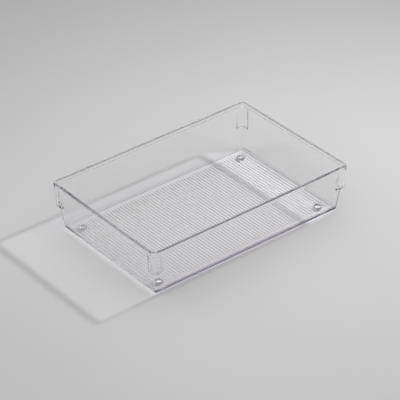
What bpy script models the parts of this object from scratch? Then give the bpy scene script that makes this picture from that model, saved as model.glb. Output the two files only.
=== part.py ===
"""Clear drawer organizer insert: one moulded open tray that stands on four stick-on feet.

The tray is rectangular, with walls that lean in towards the floor, a thick rounded lip, a ribbed
floor and a hollow stacking lug at each corner. Under each corner of the floor a soft clear foot
is held in a shallow round seat by a disc of adhesive.

Metres, +Z up. X runs along the long side and Y along the short side. The origin is on the surface
that the feet stand on, under the middle of the tray.
"""

import math

import bmesh
import bpy

MM = 0.001

# Overall size of the tray, over its lip and down to the feet.
LENGTH = 228.6 * MM
WIDTH = 152.4 * MM
HEIGHT = 50.8 * MM

# Moulding thicknesses.
WALL = 1.8 * MM
FLOOR = 2.0 * MM

# Lip: a solid bead that stands proud of the wall all round.
LIP_HEIGHT = 4.5 * MM
LIP_OVERHANG = 1.0 * MM
LIP_OUTER_ROUND = 1.0 * MM
LIP_INNER_ROUND = 0.5 * MM
LIP_LOWER_ROUND = 0.3 * MM
LIP_WIDTH = LIP_OVERHANG + WALL

# Walls: how far they lean in between the lip and the underside, and their rounded edges.
WALL_LEAN = 6.1 * MM
CORNER_RADIUS = 6.0 * MM
WALL_CORNER_TOP = CORNER_RADIUS - LIP_OVERHANG
WALL_CORNER_BOTTOM = 2.8 * MM
LEAST_CORNER_RADIUS = 0.8 * MM
BOTTOM_ROUND = 1.5 * MM
FLOOR_FILLET = 3.0 * MM

# Feet and their seats in the underside.
FOOT_STAND_OFF = 2.0 * MM
FOOT_X = 94.4 * MM
FOOT_Y = 55.8 * MM
FOOT_RADIUS = 4.0 * MM
FOOT_TIP_RADIUS = 1.8 * MM
SEAT_RADIUS = 4.5 * MM
SEAT_DEPTH = 0.8 * MM
GAP = 0.3 * MM
ADHESIVE_RADIUS = 3.7 * MM
ADHESIVE_THICKNESS = 0.3 * MM

# Levels that follow from the sizes above.
UNDERSIDE_Z = FOOT_STAND_OFF
FLOOR_Z = UNDERSIDE_Z + FLOOR
LIP_Z = HEIGHT - LIP_HEIGHT

# Ribs on the floor, each one across the tray, left out over the seats.
RIB_COUNT = 62
RIB_PITCH = 3.3 * MM
RIB_HEIGHT = 0.3 * MM
RIB_BASE = 3.0 * MM
RIB_TOP = 1.8 * MM
RIB_HALF_LENGTH = 62.5 * MM
RIB_ROOT = 0.5 * MM
SEAT_LAND_RADIUS = 4.7 * MM

# Stacking lugs: upright corner columns that end half way down the leaning wall.
LUG_HALF_WIDTH = 6.0 * MM
POCKET_HALF_WIDTH = 4.9 * MM
LUG_BOTTOM_Z = 25.2 * MM
LUG_BOTTOM_RISE = 3.5 * MM
LEDGE_Z = 27.0 * MM
LEDGE_ROUND = 1.2 * MM
LUG_FLUSH = 0.2 * MM
LUG_ROOT = 0.6 * MM
LUG_REACH_IN = 20.0 * MM
LUG_TOP_Z = LIP_Z + 1.0 * MM

# Fineness of the round shapes.
CORNER_STEPS = 8
ROUND_STEPS = 4
WALL_STEPS = 3
LUG_STEPS = 7
FOOT_STEPS = 24
FOOT_SIDE_STEPS = 6
SEAT_STEPS = 32

# A foot's edges that turn by more than this many degrees are shaded sharp.
FOOT_SHARP_ANGLE = 35

# How far a cutter runs past the face that it opens.
CUTTER_OVERRUN = 1.0 * MM

CORNERS = {
    "front_left": (-1, -1),
    "front_right": (1, -1),
    "rear_left": (-1, 1),
    "rear_right": (1, 1),
}


def clear_scene():
    for item in list(bpy.data.objects):
        bpy.data.objects.remove(item, do_unlink=True)


def make_material(name, colour, roughness, transmission, ior):
    """A Principled material of one colour."""
    material = bpy.data.materials.new(name)
    material.use_nodes = True
    shader = material.node_tree.nodes["Principled BSDF"]
    shader.inputs["Base Color"].default_value = colour
    shader.inputs["Roughness"].default_value = roughness
    shader.inputs["Transmission Weight"].default_value = transmission
    shader.inputs["IOR"].default_value = ior
    material.diffuse_color = colour
    return material


def add_object(name, mesh_data, material=None):
    """Puts a bmesh into the scene as a named object."""
    bmesh.ops.recalc_face_normals(mesh_data, faces=mesh_data.faces)
    mesh = bpy.data.meshes.new(name)
    mesh_data.to_mesh(mesh)
    mesh_data.free()
    item = bpy.data.objects.new(name, mesh)
    bpy.context.scene.collection.objects.link(item)
    if material is not None:
        mesh.materials.append(material)
    return item


def loft(mesh_data, rings):
    """Joins rings of equal length, in order, and closes the first and the last."""
    loops = [[mesh_data.verts.new(point) for point in ring] for ring in rings]
    count = len(loops[0])
    for lower, upper in zip(loops, loops[1:]):
        for i in range(count):
            j = (i + 1) % count
            mesh_data.faces.new((lower[i], lower[j], upper[j], upper[i]))
    mesh_data.faces.new(list(reversed(loops[0])))
    mesh_data.faces.new(loops[-1])


def arc(start, end, steps):
    """Angles in radians from start to end degrees, both ends included."""
    return [math.radians(start + (end - start) * i / steps) for i in range(steps + 1)]


def lean(z):
    """How far down the wall height z is: 0 at the lip and 1 at the underside."""
    return (LIP_Z - z) / (LIP_Z - UNDERSIDE_Z)


def wall_inset(z):
    """How far inside the tray's outline the outer face of the wall is at height z."""
    return LIP_OVERHANG + WALL_LEAN * lean(z)


def wall_radius(z):
    """The corner radius of the wall's outer face at height z. It is tighter lower down."""
    return WALL_CORNER_TOP - (WALL_CORNER_TOP - WALL_CORNER_BOTTOM) * lean(z)


def pulled_in(inset, radius, distance, z):
    """One step of a profile: an outline moved in by distance from a given inset and radius."""
    return (inset + distance, max(radius - distance, LEAST_CORNER_RADIUS), z)


def outline_ring(inset, radius, z):
    """The tray's rounded rectangle at height z."""
    centre_x = LENGTH / 2 - inset - radius
    centre_y = WIDTH / 2 - inset - radius
    ring = []
    for start, sign_x, sign_y in ((0, 1, 1), (90, -1, 1), (180, -1, -1), (270, 1, -1)):
        for angle in arc(start, start + 90, CORNER_STEPS):
            x = sign_x * centre_x + radius * math.cos(angle)
            y = sign_y * centre_y + radius * math.sin(angle)
            ring.append((x, y, z))
    return ring


def outer_profile():
    """The tray's outside, from the underside up to the top of the lip."""
    round_z = UNDERSIDE_Z + BOTTOM_ROUND
    profile = []
    for angle in arc(0, 90, ROUND_STEPS):
        distance = BOTTOM_ROUND * (1 - math.sin(angle))
        z = round_z - BOTTOM_ROUND * math.cos(angle)
        profile.append(pulled_in(wall_inset(round_z), wall_radius(round_z), distance, z))
    for step in range(1, WALL_STEPS + 1):
        z = round_z + (LIP_Z - round_z) * step / WALL_STEPS
        profile.append(pulled_in(wall_inset(z), wall_radius(z), 0.0, z))
    profile.append(pulled_in(0.0, CORNER_RADIUS, LIP_LOWER_ROUND, LIP_Z))
    profile.append(pulled_in(0.0, CORNER_RADIUS, 0.0, LIP_Z + LIP_LOWER_ROUND))
    for angle in arc(0, 90, ROUND_STEPS):
        distance = LIP_OUTER_ROUND * (1 - math.cos(angle))
        z = HEIGHT - LIP_OUTER_ROUND * (1 - math.sin(angle))
        profile.append(pulled_in(0.0, CORNER_RADIUS, distance, z))
    return profile


def cavity_profile():
    """The tray's inside, from above the lip down to the floor."""
    mouth = LIP_WIDTH - LIP_INNER_ROUND
    profile = [pulled_in(0.0, CORNER_RADIUS, mouth, HEIGHT + CUTTER_OVERRUN)]
    for angle in arc(0, 90, ROUND_STEPS):
        distance = mouth + LIP_INNER_ROUND * math.sin(angle)
        z = HEIGHT - LIP_INNER_ROUND * (1 - math.cos(angle))
        profile.append(pulled_in(0.0, CORNER_RADIUS, distance, z))
    fillet_z = FLOOR_Z + FLOOR_FILLET
    for step in range(WALL_STEPS):
        z = LIP_Z + (fillet_z - LIP_Z) * step / WALL_STEPS
        profile.append(pulled_in(wall_inset(z), wall_radius(z), WALL, z))
    for angle in arc(0, 90, ROUND_STEPS):
        distance = WALL + FLOOR_FILLET * (1 - math.cos(angle))
        z = fillet_z - FLOOR_FILLET * math.sin(angle)
        profile.append(pulled_in(wall_inset(fillet_z), wall_radius(fillet_z), distance, z))
    return profile


def make_solid_of(name, profile):
    mesh_data = bmesh.new()
    loft(mesh_data, [outline_ring(*step) for step in profile])
    return add_object(name, mesh_data)


def lug_ring(corner, inset, radius, half_width, z):
    """The part of an outline's corner that lies in a strip along the corner's diagonal.

    The strip starts well inside the tray. Its outer end follows the straight sides of the
    outline and the arc between them.
    """
    diagonal = math.atan2(corner[1], corner[0])
    centre = -(inset + radius) * math.sqrt(2)
    side_end = centre + radius * math.sqrt(2) - half_width
    local = [(-LUG_REACH_IN, -half_width), (side_end, -half_width)]
    for angle in arc(-45, 45, LUG_STEPS):
        local.append((centre + radius * math.cos(angle), radius * math.sin(angle)))
    local += [(side_end, half_width), (-LUG_REACH_IN, half_width)]
    ring = []
    for along, across in local:
        x = corner[0] * LENGTH / 2 + along * math.cos(diagonal) - across * math.sin(diagonal)
        y = corner[1] * WIDTH / 2 + along * math.sin(diagonal) + across * math.cos(diagonal)
        ring.append((x, y, z))
    return ring


def make_lugs():
    """The four corner columns. The bottom of each curves back into the leaning wall."""
    low_inset = wall_inset(LUG_BOTTOM_Z) + LUG_ROOT
    low_radius = wall_radius(LUG_BOTTOM_Z) - LUG_ROOT
    top_inset = LIP_OVERHANG + LUG_FLUSH
    top_radius = CORNER_RADIUS - top_inset
    mesh_data = bmesh.new()
    for corner in CORNERS.values():
        rings = []
        for angle in arc(0, 90, ROUND_STEPS):
            share = math.sin(angle)
            inset = low_inset + (top_inset - low_inset) * share
            radius = low_radius + (top_radius - low_radius) * share
            z = LUG_BOTTOM_Z + LUG_BOTTOM_RISE * (1 - math.cos(angle))
            rings.append(lug_ring(corner, inset, radius, LUG_HALF_WIDTH, z))
        rings.append(lug_ring(corner, top_inset, top_radius, LUG_HALF_WIDTH, LUG_TOP_Z))
        loft(mesh_data, rings)
    return add_object("guide_lugs", mesh_data)


def make_pockets():
    """The hollows of the lugs, open to the inside of the tray, each with a ledge as its floor."""
    inset = LIP_WIDTH + LUG_FLUSH
    radius = CORNER_RADIUS - inset
    mesh_data = bmesh.new()
    for corner in CORNERS.values():
        rings = []
        for angle in arc(0, 90, ROUND_STEPS):
            distance = LEDGE_ROUND * (1 - math.sin(angle))
            z = LEDGE_Z + LEDGE_ROUND * (1 - math.cos(angle))
            step = (inset + distance, radius - distance, POCKET_HALF_WIDTH, z)
            rings.append(lug_ring(corner, *step))
        rings.append(lug_ring(corner, inset, radius, POCKET_HALF_WIDTH, LUG_TOP_Z))
        loft(mesh_data, rings)
    return add_object("cutter_pockets", mesh_data)


def rib_spans(x):
    """The stretches in Y of the rib at x: whole, or broken round the smooth lands at the feet."""
    reach = SEAT_LAND_RADIUS**2 - (abs(x) - FOOT_X) ** 2
    if reach <= 0:
        return [(-RIB_HALF_LENGTH, RIB_HALF_LENGTH)]
    half = math.sqrt(reach)
    inner = FOOT_Y - half
    outer = FOOT_Y + half
    return [(-RIB_HALF_LENGTH, -outer), (-inner, inner), (outer, RIB_HALF_LENGTH)]


def make_ribs():
    """Low flat-topped ridges with sloping sides, rooted in the floor."""
    mesh_data = bmesh.new()
    root_z = FLOOR_Z - RIB_ROOT
    top_z = FLOOR_Z + RIB_HEIGHT
    for index in range(RIB_COUNT):
        x = (index - (RIB_COUNT - 1) / 2) * RIB_PITCH
        section = (
            (x - RIB_BASE / 2, root_z),
            (x + RIB_BASE / 2, root_z),
            (x + RIB_BASE / 2, FLOOR_Z),
            (x + RIB_TOP / 2, top_z),
            (x - RIB_TOP / 2, top_z),
            (x - RIB_BASE / 2, FLOOR_Z),
        )
        for start, end in rib_spans(x):
            rings = [[(px, y, pz) for px, pz in section] for y in (start, end)]
            loft(mesh_data, rings)
    return add_object("guide_ribs", mesh_data)


def disc_ring(centre, radius, z, steps):
    """A level ring round a foot's centre."""
    ring = []
    for i in range(steps):
        angle = math.tau * i / steps
        x = centre[0] + radius * math.cos(angle)
        y = centre[1] + radius * math.sin(angle)
        ring.append((x, y, z))
    return ring


def foot_centre(corner):
    return (corner[0] * FOOT_X, corner[1] * FOOT_Y)


def make_seats():
    """The four round seats cut up into the underside."""
    mesh_data = bmesh.new()
    for corner in CORNERS.values():
        centre = foot_centre(corner)
        heights = (UNDERSIDE_Z - CUTTER_OVERRUN, UNDERSIDE_Z + SEAT_DEPTH)
        loft(mesh_data, [disc_ring(centre, SEAT_RADIUS, z, SEAT_STEPS) for z in heights])
    return add_object("cutter_seats", mesh_data)


def apply_shape(target, tool, operation):
    """Joins a guide to the target, or cuts it away, and hides the guide."""
    modifier = target.modifiers.new(tool.name, "BOOLEAN")
    modifier.operation = operation
    modifier.solver = "EXACT"
    modifier.object = tool
    tool.hide_render = True
    tool.display_type = "WIRE"


def make_tray(material):
    """The moulding: an outer block with its lugs, then hollowed, ribbed and seated."""
    tray = make_solid_of("tray_body", outer_profile())
    tray.data.materials.append(material)
    apply_shape(tray, make_lugs(), "UNION")
    apply_shape(tray, make_solid_of("cutter_cavity", cavity_profile()), "DIFFERENCE")
    apply_shape(tray, make_pockets(), "DIFFERENCE")
    apply_shape(tray, make_ribs(), "UNION")
    apply_shape(tray, make_seats(), "DIFFERENCE")
    return tray


def make_adhesive(name, corner, material):
    """A thin disc just under the roof of the seat."""
    top_z = UNDERSIDE_Z + SEAT_DEPTH - GAP
    centre = foot_centre(corner)
    mesh_data = bmesh.new()
    heights = (top_z - ADHESIVE_THICKNESS, top_z)
    loft(mesh_data, [disc_ring(centre, ADHESIVE_RADIUS, z, FOOT_STEPS) for z in heights])
    return add_object(name, mesh_data, material)


def cap_radius(tip, edge, height):
    """Radius of the sphere that passes through a tip circle and an edge circle height above it."""
    rise = (edge * edge - tip * tip - height * height) / (2 * height)
    return math.hypot(edge, rise)


def make_foot(name, corner, material):
    """A domed pad: a flat tip on the ground, a ball-shaped side and a flat back under the adhesive."""
    back_z = UNDERSIDE_Z + SEAT_DEPTH - GAP - ADHESIVE_THICKNESS - GAP
    ball = cap_radius(FOOT_TIP_RADIUS, FOOT_RADIUS, back_z)
    tip_angle = math.asin(FOOT_TIP_RADIUS / ball)
    edge_angle = math.asin(FOOT_RADIUS / ball)
    centre = foot_centre(corner)
    mesh_data = bmesh.new()
    rings = []
    for angle in arc(math.degrees(tip_angle), math.degrees(edge_angle), FOOT_SIDE_STEPS):
        z = ball * (math.cos(tip_angle) - math.cos(angle))
        rings.append(disc_ring(centre, ball * math.sin(angle), z, FOOT_STEPS))
    loft(mesh_data, rings)
    foot = add_object(name, mesh_data, material)
    foot.data.shade_smooth()
    foot.data.set_sharp_from_angle(angle=math.radians(FOOT_SHARP_ANGLE))
    return foot


def main():
    clear_scene()
    plastic = make_material("clear_plastic", (0.93, 0.93, 0.96, 1.0), 0.03, 1.0, 1.59)
    rubber = make_material("clear_rubber", (0.86, 0.87, 0.88, 1.0), 0.2, 0.9, 1.45)
    glue = make_material("clear_adhesive", (0.9, 0.9, 0.88, 1.0), 0.3, 0.9, 1.48)
    make_tray(plastic)
    for place, corner in CORNERS.items():
        make_foot("foot_" + place, corner, rubber)
        make_adhesive("foot_adhesive_" + place, corner, glue)


main()
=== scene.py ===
"""Clear drawer organizer insert: the finished look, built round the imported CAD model.

The moulded tray, its feet and their adhesive are rebuilt here as fine, smooth meshes in the places
that the frame gives, and every piece gets a procedural material. Metres, +Z up.
"""

import math

import bmesh
import bpy
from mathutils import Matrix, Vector


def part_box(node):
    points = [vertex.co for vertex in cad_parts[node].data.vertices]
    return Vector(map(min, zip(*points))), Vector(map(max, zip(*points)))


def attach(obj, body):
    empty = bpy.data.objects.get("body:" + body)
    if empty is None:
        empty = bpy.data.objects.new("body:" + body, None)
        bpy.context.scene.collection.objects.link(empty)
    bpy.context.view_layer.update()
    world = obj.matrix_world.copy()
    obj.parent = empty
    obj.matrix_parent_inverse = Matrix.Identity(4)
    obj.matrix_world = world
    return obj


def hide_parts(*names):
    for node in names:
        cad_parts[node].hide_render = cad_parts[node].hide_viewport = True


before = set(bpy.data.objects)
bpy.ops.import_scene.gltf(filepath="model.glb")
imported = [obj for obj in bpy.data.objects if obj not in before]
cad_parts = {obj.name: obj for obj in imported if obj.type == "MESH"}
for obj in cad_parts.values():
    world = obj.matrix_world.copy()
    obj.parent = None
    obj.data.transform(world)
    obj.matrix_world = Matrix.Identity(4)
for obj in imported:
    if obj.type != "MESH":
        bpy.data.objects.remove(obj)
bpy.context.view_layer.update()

MM = 0.001
CORNERS = {
    "front_left": (-1, -1),
    "front_right": (1, -1),
    "rear_left": (-1, 1),
    "rear_right": (1, 1),
}

# The tray's box and the feet's places come from the frame.
TRAY_LOW, TRAY_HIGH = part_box("tray_body")
LENGTH = TRAY_HIGH.x - TRAY_LOW.x
WIDTH = TRAY_HIGH.y - TRAY_LOW.y
UNDERSIDE_Z = TRAY_LOW.z
TOP_Z = TRAY_HIGH.z

# Moulding thicknesses and the lip.
WALL = 1.8 * MM
FLOOR_Z = UNDERSIDE_Z + 2.0 * MM
LIP_HEIGHT = 4.5 * MM
LIP_Z = TOP_Z - LIP_HEIGHT
LIP_OVERHANG = 1.0 * MM
LIP_WIDTH = LIP_OVERHANG + WALL
LIP_OUTER_ROUND = 1.0 * MM
LIP_INNER_ROUND = 0.5 * MM
LIP_LOWER_ROUND = 0.35 * MM

# The leaning walls.
WALL_LEAN = 6.1 * MM
CORNER_RADIUS = 6.0 * MM
WALL_CORNER_TOP = CORNER_RADIUS - LIP_OVERHANG
WALL_CORNER_BOTTOM = 2.8 * MM
LEAST_CORNER_RADIUS = 0.9 * MM
BOTTOM_ROUND = 1.5 * MM
FLOOR_FILLET = 3.0 * MM

# The corner lugs and their hollow insides.
LUG_HALF_WIDTH = 6.0 * MM
LUG_BOTTOM_Z = 25.2 * MM
LUG_RISE = 3.5 * MM
POCKET_HALF_WIDTH = 4.9 * MM
LEDGE_Z = 27.0 * MM
LEDGE_ROUND = 1.2 * MM
EDGE_BLEND = 0.45 * MM

# The ribs on the floor.
RIB_COUNT = 62
RIB_PITCH = 3.3 * MM
RIB_HEIGHT = 0.3 * MM
RIB_BASE = 3.0 * MM
RIB_TOP = 1.8 * MM
RIB_HALF_LENGTH = 62.5 * MM
RIB_END_BLEND = 2.0 * MM
LAND_RADIUS = 4.7 * MM
LAND_BLEND = 0.4 * MM

# The seats under the floor, and what sits in them.
SEAT_RADIUS = 4.5 * MM
SEAT_DEPTH = 0.8 * MM
HAIRLINE = 0.02 * MM
FOOT_TIP_RADIUS = 1.8 * MM
FOOT_EDGE_ROUND = 0.2 * MM
ADHESIVE_THICKNESS = 0.5 * MM

SEAT_EDGE = 0.15 * MM
ADHESIVE_EDGE = 0.08 * MM

# Fineness of the meshes: steps along a rounding, and the widest gap between lines of points.
ROUND_STEPS = 8
LIP_LOWER_STEPS = 4
MOUTH_STEPS = 6
FILLET_STEPS = 10
LUG_RISE_STEPS = 12
LEDGE_STEPS = 14
RIB_END_STEPS = 6
FOOT_SIDE_STEPS = 20
FOOT_EDGE_STEPS = 4
SPIN_STEPS = 64
EDGE_BLEND_STEPS = 8
CORNER_SPACING = 0.22 * MM
ROW_SPACING = 0.35 * MM
ROW_MARGIN = 0.2 * MM

# How far down a ledge its roundings reach, in ledge radii.
LEDGE_DROP = 1.6
# How upright a face's normal is before the face counts as level.
LEVEL = 0.9999
# Edges that turn by more than these many degrees are shaded sharp.
TRAY_SHARP_ANGLE = 40
SPUN_SHARP_ANGLE = 50
TABLE_SHARP_ANGLE = 30

# The stage and the camera. Bearings, elevations and roll are in degrees, the lens in millimetres.
TABLE_HALF = 3.0
TABLE_Z = -0.05 * MM
MOST_BOUNCES = 32
CAMERA_TARGET = (0.0196, 0.0263, 0.0)
CAMERA_BEARING = -128.47
CAMERA_ELEVATION = 33.21
CAMERA_ROLL = -0.65
CAMERA_DISTANCE = 1.9533
CAMERA_LENS = 186.2
SENSOR_WIDTH = 36.0


# ---------------------------------------------------------------- mesh helpers


def arc(start, end, steps=ROUND_STEPS):
    """Angles in radians from start to end degrees, both ends included."""
    return [math.radians(start + (end - start) * i / steps) for i in range(steps + 1)]


def smooth_step(value):
    """Rises smoothly from 0 at 0 to 1 at 1."""
    value = min(max(value, 0.0), 1.0)
    return value * value * (3.0 - 2.0 * value)


def strip_mask(distance, half_width, blend):
    """1 inside a strip and 0 outside it, with a rounded step at its edge."""
    return smooth_step((half_width + blend - abs(distance)) / (2.0 * blend))


def bridge(mesh_data, lower, upper):
    """Quads between two closed loops of vertices of equal length."""
    count = len(lower)
    for i in range(count):
        j = (i + 1) % count
        mesh_data.faces.new((lower[i], lower[j], upper[j], upper[i]))


def loop_edges(mesh_data, loop):
    """The edges of a closed loop of vertices, made where they are missing."""
    edges = []
    for i, vertex in enumerate(loop):
        following = loop[(i + 1) % len(loop)]
        edge = mesh_data.edges.get((vertex, following))
        edges.append(edge or mesh_data.edges.new((vertex, following)))
    return edges


def fill_between(mesh_data, loops):
    """Fills the flat region between an outer loop and the loops inside it."""
    edges = [edge for loop in loops for edge in loop_edges(mesh_data, loop)]
    bmesh.ops.triangle_fill(mesh_data, use_beauty=True, use_dissolve=False, edges=edges)


def finish_mesh(name, mesh_data, material, sharp_angle):
    """Turns a bmesh into a smooth-shaded piece with its faces pointing out.

    The long triangles of the level areas stay flat, so that no edge's slope smears across them.
    """
    bmesh.ops.recalc_face_normals(mesh_data, faces=mesh_data.faces)
    mesh = bpy.data.meshes.new(name)
    mesh_data.to_mesh(mesh)
    mesh_data.free()
    mesh.materials.append(material)
    mesh.shade_smooth()
    mesh.set_sharp_from_angle(angle=math.radians(sharp_angle))
    for face in mesh.polygons:
        if len(face.vertices) == 3 and abs(face.normal.z) > LEVEL:
            face.use_smooth = False
    piece = bpy.data.objects.new(name, mesh)
    bpy.context.scene.collection.objects.link(piece)
    return piece


# ---------------------------------------------------------------- the tray


def lean(z):
    """How far down the wall height z is: 0 at the lip and 1 at the underside."""
    return (LIP_Z - z) / (LIP_Z - UNDERSIDE_Z)


def wall_inset(z):
    return LIP_OVERHANG + WALL_LEAN * lean(z)


def wall_radius(z):
    return WALL_CORNER_TOP - (WALL_CORNER_TOP - WALL_CORNER_BOTTOM) * lean(z)


def wall_outline(z, pulled_in=0.0):
    """Inset and corner radius of the wall's outer face at height z, moved in by some distance."""
    radius = max(wall_radius(z) - pulled_in, LEAST_CORNER_RADIUS)
    return wall_inset(z) + pulled_in, radius


def lip_outline(pulled_in):
    return pulled_in, CORNER_RADIUS - pulled_in


def corner_reach(across, inset, radius):
    """Where an outline crosses a line beside the corner's diagonal, measured from the box's corner."""
    centre = -(inset + radius) * math.sqrt(2)
    if abs(across) < radius / math.sqrt(2):
        return centre + math.sqrt(radius * radius - across * across)
    return centre + radius * math.sqrt(2) - abs(across)


def across_values():
    """The distances across the diagonal where each ring has its points: closest at rounded edges."""
    values = [0.0]
    for half_width in (POCKET_HALF_WIDTH, LUG_HALF_WIDTH):
        start = half_width - EDGE_BLEND
        steps = math.ceil((start - values[-1]) / CORNER_SPACING)
        values += [values[-1] + (start - values[-1]) * i / steps for i in range(1, steps + 1)]
        for i in range(1, EDGE_BLEND_STEPS + 1):
            values.append(start + 2.0 * EDGE_BLEND * i / EDGE_BLEND_STEPS)
    values += [values[-1] + extra * MM for extra in (0.6, 2.0, 5.0)]
    return [-value for value in reversed(values[1:])] + values


ACROSS = across_values()


def ring_points(outline, z, raised=None, mask=None, raised_z=None):
    """One ring of the tray. Near the corners it goes over from outline at z to raised at raised_z."""
    points = []
    for corner_x, corner_y in ((1, 1), (-1, 1), (-1, -1), (1, -1)):
        along = Vector((corner_x, corner_y, 0)) / math.sqrt(2)
        across = Vector((-along.y, along.x, 0))
        tip = Vector((corner_x * LENGTH / 2, corner_y * WIDTH / 2, 0))
        for value in ACROSS:
            reach = corner_reach(value, *outline)
            height = z
            if raised is not None:
                share = strip_mask(value, mask, EDGE_BLEND)
                reach += (corner_reach(value, *raised) - reach) * share
                height += (raised_z - z) * share
            points.append(tip + along * reach + across * value + Vector((0, 0, height)))
    return points


def mixed(first, second, share):
    return tuple(a + (b - a) * share for a, b in zip(first, second))


def outer_rings():
    """The outside of the tray, from the underside up to the top of the lip."""
    rings = []
    round_z = UNDERSIDE_Z + BOTTOM_ROUND
    for angle in arc(0, 90):
        outline = wall_outline(round_z, BOTTOM_ROUND * (1 - math.sin(angle)))
        rings.append(ring_points(outline, round_z - BOTTOM_ROUND * math.cos(angle)))
    for share in (0.02, 0.25, 0.5, 0.75, 0.97):
        z = round_z + (LUG_BOTTOM_Z - round_z) * share
        rings.append(ring_points(wall_outline(z), z))
    lug = (LIP_OVERHANG, WALL_CORNER_TOP)
    for step, angle in enumerate(arc(0, 90, LUG_RISE_STEPS)):
        z = LUG_BOTTOM_Z + LUG_RISE * step / LUG_RISE_STEPS
        raised_z = LUG_BOTTOM_Z + LUG_RISE * (1 - math.cos(angle))
        raised = mixed(wall_outline(z), lug, math.sin(angle))
        rings.append(ring_points(wall_outline(z), z, raised, LUG_HALF_WIDTH, raised_z))
    for share in (0.03, 0.35, 0.7, 0.98):
        z = LUG_BOTTOM_Z + LUG_RISE + (LIP_Z - LUG_BOTTOM_Z - LUG_RISE) * share
        rings.append(ring_points(wall_outline(z), z, lug, LUG_HALF_WIDTH, z))
    rings.append(ring_points(lip_outline(LIP_OVERHANG), LIP_Z))
    for angle in arc(0, 90, LIP_LOWER_STEPS):
        outline = lip_outline(LIP_LOWER_ROUND * (1 - math.sin(angle)))
        rings.append(ring_points(outline, LIP_Z + LIP_LOWER_ROUND * (1 - math.cos(angle))))
    for angle in arc(0, 90):
        outline = lip_outline(LIP_OUTER_ROUND * (1 - math.cos(angle)))
        rings.append(ring_points(outline, TOP_Z - LIP_OUTER_ROUND * (1 - math.sin(angle))))
    return rings


def inner_rings():
    """The inside of the tray, from the top of the lip down to the floor."""
    rings = []
    mouth = LIP_WIDTH - LIP_INNER_ROUND
    for angle in arc(0, 90, MOUTH_STEPS):
        outline = lip_outline(mouth + LIP_INNER_ROUND * math.sin(angle))
        rings.append(ring_points(outline, TOP_Z - LIP_INNER_ROUND * (1 - math.cos(angle))))
    pocket = lip_outline(LIP_WIDTH)
    top_of_ledge = LEDGE_Z + LEDGE_ROUND
    for share in (0.0, 0.02, 0.35, 0.7, 0.97):
        z = LIP_Z + (top_of_ledge - LIP_Z) * share
        rings.append(ring_points(wall_outline(z, WALL), z, pocket, POCKET_HALF_WIDTH, z))
    for step in range(LEDGE_STEPS + 1):
        share = step / LEDGE_STEPS
        z = top_of_ledge - LEDGE_ROUND * LEDGE_DROP * share
        turn = math.radians(90 * min(share * 2.0, 1.0))
        flat = max(share * 2.0 - 1.0, 0.0)
        at_turn = lip_outline(LIP_WIDTH + LEDGE_ROUND * (1 - math.cos(turn)))
        raised = mixed(at_turn, wall_outline(z, WALL), flat)
        raised_z = top_of_ledge - LEDGE_ROUND * math.sin(turn)
        raised_z += (z - raised_z) * smooth_step(flat) * flat
        rings.append(ring_points(wall_outline(z, WALL), z, raised, POCKET_HALF_WIDTH, raised_z))
    ledge_end = top_of_ledge - LEDGE_ROUND * LEDGE_DROP
    fillet_z = FLOOR_Z + FLOOR_FILLET
    for share in (0.03, 0.3, 0.6, 0.97):
        z = ledge_end + (fillet_z - ledge_end) * share
        rings.append(ring_points(wall_outline(z, WALL), z))
    for angle in arc(0, 90, FILLET_STEPS):
        outline = wall_outline(fillet_z, WALL + FLOOR_FILLET * (1 - math.cos(angle)))
        rings.append(ring_points(outline, fillet_z - FLOOR_FILLET * math.sin(angle)))
    return rings


def rib_height(x, y, feet):
    """Height of the floor's ribs over the floor."""
    middle = (RIB_COUNT - 1) / 2
    index = min(max(round(x / RIB_PITCH + middle), 0), RIB_COUNT - 1)
    offset = abs(x - (index - middle) * RIB_PITCH)
    slope = (RIB_BASE - RIB_TOP) / 2
    height = RIB_HEIGHT * smooth_step((RIB_BASE / 2 - offset) / slope)
    height *= strip_mask(y, RIB_HALF_LENGTH - RIB_END_BLEND, RIB_END_BLEND)
    for foot in feet:
        away = math.hypot(x - foot.x, y - foot.y)
        height *= 1.0 - strip_mask(away, LAND_RADIUS, LAND_BLEND)
    return height


def rib_columns():
    """X of the grid lines of the ribbed field: close on each rib's slopes."""
    columns = []
    half = RIB_BASE / 2
    slope = (RIB_BASE - RIB_TOP) / 2
    offsets = [-half, -half + slope * 0.25, -half + slope * 0.5, -half + slope * 0.75, -half + slope]
    offsets += [0.0] + [-value for value in reversed(offsets)]
    for index in range(RIB_COUNT):
        middle = (index - (RIB_COUNT - 1) / 2) * RIB_PITCH
        columns += [middle + offset for offset in offsets]
    return columns


def rib_rows(feet):
    """Y of the grid lines: close at the ribs' ends and round the lands over the feet."""
    end = RIB_HALF_LENGTH
    outer = [end - 2.0 * RIB_END_BLEND * i / RIB_END_STEPS for i in range(RIB_END_STEPS + 1)]
    foot_y = abs(feet[0].y)
    reach = LAND_RADIUS + LAND_BLEND
    start = outer[-1]
    stop = foot_y - reach - ROW_MARGIN
    steps = round((start - stop) / ROW_SPACING)
    outer += [start + (stop - start) * i / steps for i in range(1, steps + 1)]
    return [-value for value in outer] + list(reversed(outer))


def add_rib_field(mesh_data, feet):
    """The ribbed field as a grid. Returns the loop round its edge."""
    columns = rib_columns()
    rows = rib_rows(feet)
    grid = []
    for y in rows:
        line = []
        for x in columns:
            line.append(mesh_data.verts.new((x, y, FLOOR_Z + rib_height(x, y, feet))))
        grid.append(line)
    for lower, upper in zip(grid, grid[1:]):
        for i in range(len(columns) - 1):
            mesh_data.faces.new((lower[i], lower[i + 1], upper[i + 1], upper[i]))
    right = [line[-1] for line in grid[1:]]
    left = [line[0] for line in reversed(grid[1:-1])]
    return grid[0] + right + list(reversed(grid[-1][:-1])) + left


def circle(mesh_data, centre, radius, z):
    """A level loop of vertices round a foot's centre."""
    loop = []
    for i in range(SPIN_STEPS):
        angle = math.tau * i / SPIN_STEPS
        x = centre.x + radius * math.cos(angle)
        y = centre.y + radius * math.sin(angle)
        loop.append(mesh_data.verts.new((x, y, z)))
    return loop


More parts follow.
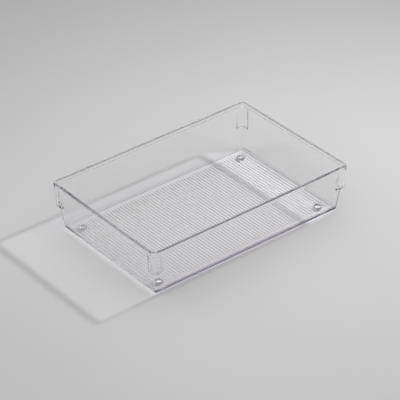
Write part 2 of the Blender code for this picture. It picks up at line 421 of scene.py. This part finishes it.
def add_seat(mesh_data, centre):
    """A round recess in the underside. Returns the loop at its mouth."""
    middle = 0.3 * SEAT_EDGE
    roof_z = UNDERSIDE_Z + SEAT_DEPTH
    mouth = circle(mesh_data, centre, SEAT_RADIUS + SEAT_EDGE, UNDERSIDE_Z)
    steps = (
        (SEAT_RADIUS + middle, UNDERSIDE_Z + middle),
        (SEAT_RADIUS, UNDERSIDE_Z + SEAT_EDGE),
        (SEAT_RADIUS, roof_z - SEAT_EDGE),
        (SEAT_RADIUS - middle, roof_z - middle),
        (SEAT_RADIUS - SEAT_EDGE, roof_z),
    )
    below = mouth
    for radius, z in steps:
        above = circle(mesh_data, centre, radius, z)
        bridge(mesh_data, below, above)
        below = above
    mesh_data.faces.new(below)
    return mouth


def make_tray(feet, material):
    """The whole moulding as one closed surface."""
    mesh_data = bmesh.new()
    rings = outer_rings() + inner_rings()
    loops = [[mesh_data.verts.new(point) for point in ring] for ring in rings]
    for lower, upper in zip(loops, loops[1:]):
        bridge(mesh_data, lower, upper)
    fill_between(mesh_data, [loops[-1], add_rib_field(mesh_data, feet)])
    fill_between(mesh_data, [loops[0]] + [add_seat(mesh_data, foot) for foot in feet])
    return finish_mesh("tray_moulding", mesh_data, material, TRAY_SHARP_ANGLE)


# ---------------------------------------------------------------- the feet


def spun(name, centre, profile, material):
    """A turned solid from a profile of (radius, z), bottom to top, closed with flat caps."""
    mesh_data = bmesh.new()
    loops = [circle(mesh_data, centre, radius, z) for radius, z in profile]
    for lower, upper in zip(loops, loops[1:]):
        bridge(mesh_data, lower, upper)
    mesh_data.faces.new(loops[0])
    mesh_data.faces.new(loops[-1])
    return finish_mesh(name, mesh_data, material, SPUN_SHARP_ANGLE)


def make_foot(place, centre, radius, material):
    """A soft clear dome with a small flat tip on the ground."""
    adhesive_z = UNDERSIDE_Z + SEAT_DEPTH - HAIRLINE - ADHESIVE_THICKNESS
    back_z = adhesive_z - HAIRLINE
    edge_z = back_z - FOOT_EDGE_ROUND
    rise = (radius * radius - FOOT_TIP_RADIUS * FOOT_TIP_RADIUS - edge_z * edge_z) / (2 * edge_z)
    ball = math.hypot(radius, rise)
    tip_angle = math.degrees(math.asin(FOOT_TIP_RADIUS / ball))
    edge_angle = math.degrees(math.asin(radius / ball))
    profile = []
    for angle in arc(tip_angle, edge_angle, FOOT_SIDE_STEPS):
        z = ball * (math.cos(math.radians(tip_angle)) - math.cos(angle))
        profile.append((ball * math.sin(angle), z))
    for angle in arc(0, 90, FOOT_EDGE_STEPS)[1:]:
        reach = radius - FOOT_EDGE_ROUND * (1 - math.cos(angle))
        profile.append((reach, back_z - FOOT_EDGE_ROUND * (1 - math.sin(angle))))
    return spun("soft_" + place, centre, profile, material)


def make_adhesive(place, centre, radius, material):
    """A clear disc of adhesive between the foot and the roof of its seat."""
    top_z = UNDERSIDE_Z + SEAT_DEPTH - HAIRLINE
    low_z = top_z - ADHESIVE_THICKNESS
    inner = radius - ADHESIVE_EDGE
    profile = [(inner, low_z), (radius, low_z + ADHESIVE_EDGE)]
    profile += [(radius, top_z - ADHESIVE_EDGE), (inner, top_z)]
    return spun("clear_" + place, centre, profile, material)


# ---------------------------------------------------------------- materials


def new_tree(name):
    material = bpy.data.materials.new(name)
    material.use_nodes = True
    tree = material.node_tree
    return material, tree, tree.nodes["Principled BSDF"], tree.nodes["Material Output"]


def add_noise(tree, scale, detail, roughness=0.5):
    """Object-space noise, so that it stays on the piece."""
    place = tree.nodes.new("ShaderNodeTexCoord")
    noise = tree.nodes.new("ShaderNodeTexNoise")
    noise.inputs["Scale"].default_value = scale
    noise.inputs["Detail"].default_value = detail
    noise.inputs["Roughness"].default_value = roughness
    tree.links.new(place.outputs["Object"], noise.inputs["Vector"])
    return noise


def spread(tree, source, low, high):
    """Maps a noise's middle range onto low to high."""
    change = tree.nodes.new("ShaderNodeMapRange")
    change.inputs["From Min"].default_value = 0.35
    change.inputs["From Max"].default_value = 0.75
    change.inputs["To Min"].default_value = low
    change.inputs["To Max"].default_value = high
    tree.links.new(source, change.inputs["Value"])
    return change.outputs["Result"]


def add_bump(tree, source, distance, strength):
    bump = tree.nodes.new("ShaderNodeBump")
    bump.inputs["Distance"].default_value = distance
    bump.inputs["Strength"].default_value = strength
    tree.links.new(source, bump.inputs["Height"])
    return bump.outputs["Normal"]


def colour_by_height(tree, stops):
    """Colours laid over the piece's height. Each stop is a Z and its colour."""
    place = tree.nodes.new("ShaderNodeTexCoord")
    split = tree.nodes.new("ShaderNodeSeparateXYZ")
    level = tree.nodes.new("ShaderNodeMapRange")
    ramp = tree.nodes.new("ShaderNodeValToRGB")
    low, high = stops[0][0], stops[-1][0]
    level.inputs["From Min"].default_value = low
    level.inputs["From Max"].default_value = high
    elements = ramp.color_ramp.elements
    elements[0].position, elements[0].color = 0.0, stops[0][1]
    elements[1].position, elements[1].color = 1.0, stops[-1][1]
    for z, colour in stops[1:-1]:
        elements.new((z - low) / (high - low)).color = colour
    tree.links.new(place.outputs["Object"], split.inputs[0])
    tree.links.new(split.outputs["Z"], level.inputs["Value"])
    tree.links.new(level.outputs["Result"], ramp.inputs["Fac"])
    return ramp.outputs["Color"]


def let_lamps_through(tree, shader, output, grazing, head_on=None, by_height=None):
    """Clear plastic throws a pale shadow that is darker where light meets the surface at a slant."""
    facing = tree.nodes.new("ShaderNodeLayerWeight")
    facing.inputs["Blend"].default_value = 0.5
    slant = tree.nodes.new("ShaderNodeMapRange")
    slant.interpolation_type = "SMOOTHSTEP"
    slant.inputs["From Min"].default_value = 0.45
    slant.inputs["From Max"].default_value = 0.95
    tree.links.new(facing.outputs["Facing"], slant.inputs["Value"])
    tint = tree.nodes.new("ShaderNodeMix")
    tint.data_type = "RGBA"
    tint.blend_type = "MULTIPLY"
    if by_height is None:
        tint.inputs[6].default_value = head_on
    else:
        tree.links.new(by_height, tint.inputs[6])
    tint.inputs[7].default_value = grazing
    tree.links.new(slant.outputs["Result"], tint.inputs[0])
    through = tree.nodes.new("ShaderNodeBsdfTransparent")
    tree.links.new(tint.outputs[2], through.inputs["Color"])
    path = tree.nodes.new("ShaderNodeLightPath")
    mix = tree.nodes.new("ShaderNodeMixShader")
    tree.links.new(path.outputs["Is Shadow Ray"], mix.inputs[0])
    tree.links.new(shader.outputs[0], mix.inputs[1])
    tree.links.new(through.outputs[0], mix.inputs[2])
    tree.links.new(mix.outputs[0], output.inputs["Surface"])


def add_absorption(tree, output, colour, density):
    volume = tree.nodes.new("ShaderNodeVolumeAbsorption")
    volume.inputs["Color"].default_value = colour
    volume.inputs["Density"].default_value = density
    tree.links.new(volume.outputs[0], output.inputs["Volume"])


def clear_plastic():
    """Polished glass-clear moulding: faint flow waviness, a light haze of handling, painted shade low
    on the ribs, violet in depth.
    """
    material, tree, shader, output = new_tree("clear_moulded_plastic")
    clear = (1.0, 0.998, 1.0, 1.0)
    painted_groove_shade = (0.80, 0.785, 0.83, 1.0)
    # Painted shade: the ribs' lower slopes are tinted grey, standing in for the grey lines that light
    # draws along the grooves.
    body = colour_by_height(
        tree,
        [
            (UNDERSIDE_Z, clear),
            (FLOOR_Z, clear),
            (FLOOR_Z + 0.15 * RIB_HEIGHT, painted_groove_shade),
            (FLOOR_Z + 0.6 * RIB_HEIGHT, painted_groove_shade),
            (FLOOR_Z + 0.95 * RIB_HEIGHT, clear),
            (TOP_Z, clear),
        ],
    )
    tree.links.new(body, shader.inputs["Base Color"])
    shader.inputs["IOR"].default_value = 1.57
    shader.inputs["Transmission Weight"].default_value = 1.0
    haze = add_noise(tree, 90.0, 4.0)
    tree.links.new(spread(tree, haze.outputs["Fac"], 0.0, 0.015), shader.inputs["Roughness"])
    flow = add_noise(tree, 28.0, 1.0)
    tree.links.new(add_bump(tree, flow.outputs["Fac"], 0.01 * MM, 0.5), shader.inputs["Normal"])
    # The ribs gather light onto the table; the lip is a solid bead that turns much of it away.
    gathered = (1.55, 1.55, 1.56, 1.0)
    wall = (1.11, 1.11, 1.11, 1.0)
    bead = (0.64, 0.64, 0.65, 1.0)
    shade = colour_by_height(
        tree,
        [
            (UNDERSIDE_Z, gathered),
            (UNDERSIDE_Z + 0.2 * MM, wall),
            (LIP_Z, wall),
            (LIP_Z + LIP_LOWER_ROUND, bead),
            (TOP_Z, bead),
        ],
    )
    let_lamps_through(tree, shader, output, (0.96, 0.95, 0.97, 1.0), by_height=shade)
    add_absorption(tree, output, (0.55, 0.45, 0.66, 1.0), 9.0)
    return material


def bulge(tree):
    """Height of a round piece's bulge: 1 at its axis, falling as a parabola to 0 at its edge."""
    place = tree.nodes.new("ShaderNodeTexCoord")
    offset = tree.nodes.new("ShaderNodeVectorMath")
    offset.operation = "MULTIPLY_ADD"
    offset.inputs[1].default_value = (2.0, 2.0, 0.0)
    offset.inputs[2].default_value = (-1.0, -1.0, 0.0)
    square = tree.nodes.new("ShaderNodeVectorMath")
    square.operation = "DOT_PRODUCT"
    height = tree.nodes.new("ShaderNodeMath")
    height.operation = "SUBTRACT"
    height.inputs[0].default_value = 1.0
    tree.links.new(place.outputs["Generated"], offset.inputs[0])
    tree.links.new(offset.outputs["Vector"], square.inputs[0])
    tree.links.new(offset.outputs["Vector"], square.inputs[1])
    tree.links.new(square.outputs["Value"], height.inputs[1])
    return height.outputs["Value"]


def clear_rubber():
    """Soft clear rubber. A bump and a painted dark rim stand in for the dome seen through its flat
    back: the base colour is painted shade, dark at the edge and pale near the axis.
    """
    material, tree, shader, output = new_tree("clear_soft_rubber")
    back = bulge(tree)
    # Painted shade: the base colour darkens towards the foot's edge.
    ramp = tree.nodes.new("ShaderNodeValToRGB")
    elements = ramp.color_ramp.elements
    elements[0].position, elements[0].color = 0.15, (0.12, 0.12, 0.13, 1.0)
    elements[1].position, elements[1].color = 0.6, (0.95, 0.95, 0.96, 1.0)
    tree.links.new(back, ramp.inputs["Fac"])
    tree.links.new(ramp.outputs["Color"], shader.inputs["Base Color"])
    shader.inputs["Metallic"].default_value = 1.0
    shader.inputs["IOR"].default_value = 1.52
    shader.inputs["Transmission Weight"].default_value = 0.7
    skin = add_noise(tree, 1800.0, 2.0)
    tree.links.new(spread(tree, skin.outputs["Fac"], 0.36, 0.42), shader.inputs["Roughness"])
    tree.links.new(add_bump(tree, back, 2.2 * MM, 1.0), shader.inputs["Normal"])
    let_lamps_through(tree, shader, output, (0.4, 0.4, 0.42, 1.0), head_on=(0.7, 0.7, 0.7, 1.0))
    return material


def clear_glue():
    """Clear pressure-sensitive adhesive with a little cloud in it."""
    material, tree, shader, output = new_tree("clear_glue")
    shader.inputs["Base Color"].default_value = (0.97, 0.97, 0.96, 1.0)
    shader.inputs["IOR"].default_value = 1.5
    shader.inputs["Transmission Weight"].default_value = 1.0
    cloud = add_noise(tree, 900.0, 5.0, 0.6)
    tree.links.new(spread(tree, cloud.outputs["Fac"], 0.0, 0.03), shader.inputs["Roughness"])
    let_lamps_through(tree, shader, output, (0.7, 0.7, 0.7, 1.0), head_on=(0.92, 0.92, 0.91, 1.0))
    return material


def table_top():
    """Plain pale grey table with a barely visible mottle."""
    material, tree, shader, _ = new_tree("pale_table")
    mottle = add_noise(tree, 6.0, 3.0)
    ramp = tree.nodes.new("ShaderNodeValToRGB")
    ramp.color_ramp.elements[0].color = (0.60, 0.60, 0.595, 1.0)
    ramp.color_ramp.elements[1].color = (0.63, 0.63, 0.625, 1.0)
    tree.links.new(mottle.outputs["Fac"], ramp.inputs["Fac"])
    tree.links.new(ramp.outputs["Color"], shader.inputs["Base Color"])
    shader.inputs["Roughness"].default_value = 0.7
    shader.inputs["Specular IOR Level"].default_value = 0.15
    return material


# ---------------------------------------------------------------- stage, light and camera


def make_table():
    """The table's top, a hair under the feet."""
    half = TABLE_HALF
    mesh_data = bmesh.new()
    corners = ((-half, -half), (half, -half), (half, half), (-half, half))
    mesh_data.faces.new([mesh_data.verts.new((x, y, TABLE_Z)) for x, y in corners])
    table = finish_mesh("table_top", mesh_data, table_top(), TABLE_SHARP_ANGLE)


def direction(azimuth, elevation):
    """Unit vector towards a compass bearing measured from +X to +Y, and an elevation, in degrees."""
    turn, tilt = math.radians(azimuth), math.radians(elevation)
    return Vector((math.cos(turn) * math.cos(tilt), math.sin(turn) * math.cos(tilt), math.sin(tilt)))


def add_area_light(name, towards, distance, size, power, spread_angle=180, aim=(0, 0, 0)):
    """A round lamp that stands off the origin and faces the aim."""
    data = bpy.data.lights.new(name, "AREA")
    data.shape = "DISK"
    data.size = size
    data.energy = power
    data.spread = math.radians(spread_angle)
    lamp = bpy.data.objects.new(name, data)
    lamp.location = towards * distance
    lamp.rotation_euler = (lamp.location - Vector(aim)).to_track_quat("Z", "Y").to_euler()
    bpy.context.scene.collection.objects.link(lamp)


def make_world():
    """A pale studio with a dark violet-grey room behind the camera, low down."""
    world = bpy.data.worlds.new("studio")
    world.use_nodes = True
    tree = world.node_tree
    background = tree.nodes["Background"]
    place = tree.nodes.new("ShaderNodeTexCoord")
    towards = tree.nodes.new("ShaderNodeVectorMath")
    towards.operation = "DOT_PRODUCT"
    towards.inputs[1].default_value = direction(-125, 5)
    ramp = tree.nodes.new("ShaderNodeValToRGB")
    elements = ramp.color_ramp.elements
    elements[0].position, elements[0].color = 0.35, (0.8, 0.8, 0.805, 1.0)
    elements[1].position, elements[1].color = 0.8, (0.45, 0.42, 0.5, 1.0)
    tree.links.new(place.outputs["Generated"], towards.inputs[0])
    tree.links.new(towards.outputs["Value"], ramp.inputs["Fac"])
    tree.links.new(ramp.outputs["Color"], background.inputs["Color"])
    background.inputs["Strength"].default_value = 0.6
    bpy.context.scene.world = world


def make_camera():
    """Long lens from the front left, looking down."""
    towards = direction(CAMERA_BEARING, CAMERA_ELEVATION)
    data = bpy.data.cameras.new("camera")
    data.lens = CAMERA_LENS
    data.sensor_width = SENSOR_WIDTH
    camera = bpy.data.objects.new("camera", data)
    camera.location = Vector(CAMERA_TARGET) + towards * CAMERA_DISTANCE
    camera.rotation_euler = towards.to_track_quat("Z", "Y").to_euler()
    camera.rotation_euler.rotate_axis("Z", math.radians(CAMERA_ROLL))
    bpy.context.scene.collection.objects.link(camera)
    bpy.context.scene.camera = camera


def set_light_paths():
    """Enough bounces for light inside clear walls, with no caustics and a plain view."""
    scene = bpy.context.scene
    scene.cycles.transparent_max_bounces = MOST_BOUNCES
    scene.cycles.transmission_bounces = MOST_BOUNCES
    scene.cycles.glossy_bounces = MOST_BOUNCES
    scene.cycles.max_bounces = MOST_BOUNCES
    scene.cycles.caustics_refractive = False
    scene.cycles.caustics_reflective = False
    scene.view_settings.view_transform = "Standard"


def main():
    make_camera()
    make_table()
    make_world()
    key_aim = (-0.14, 0.11, 0)
    add_area_light(
        "key", direction(-11, 45), distance=1.1, size=0.075, power=1.47, spread_angle=78, aim=key_aim
    )
    add_area_light("overhead", direction(-105, 62), distance=0.7, size=0.4, power=0.95)
    set_light_paths()

    plastic, rubber, glue = clear_plastic(), clear_rubber(), clear_glue()
    feet = []
    for place in CORNERS:
        low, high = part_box("foot_" + place)
        centre = (low + high) / 2
        feet.append(centre)
        foot = make_foot("foot_" + place, centre, (high.x - low.x) / 2, rubber)
        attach(foot, "root")
        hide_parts("foot_" + place)
        node = "foot_adhesive_" + place
        low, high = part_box(node)
        disc = make_adhesive(node, (low + high) / 2, (high.x - low.x) / 2, glue)
        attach(disc, "root")
        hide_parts(node)
    tray = make_tray(feet, plastic)
    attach(tray, "root")
    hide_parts("tray_body")


main()
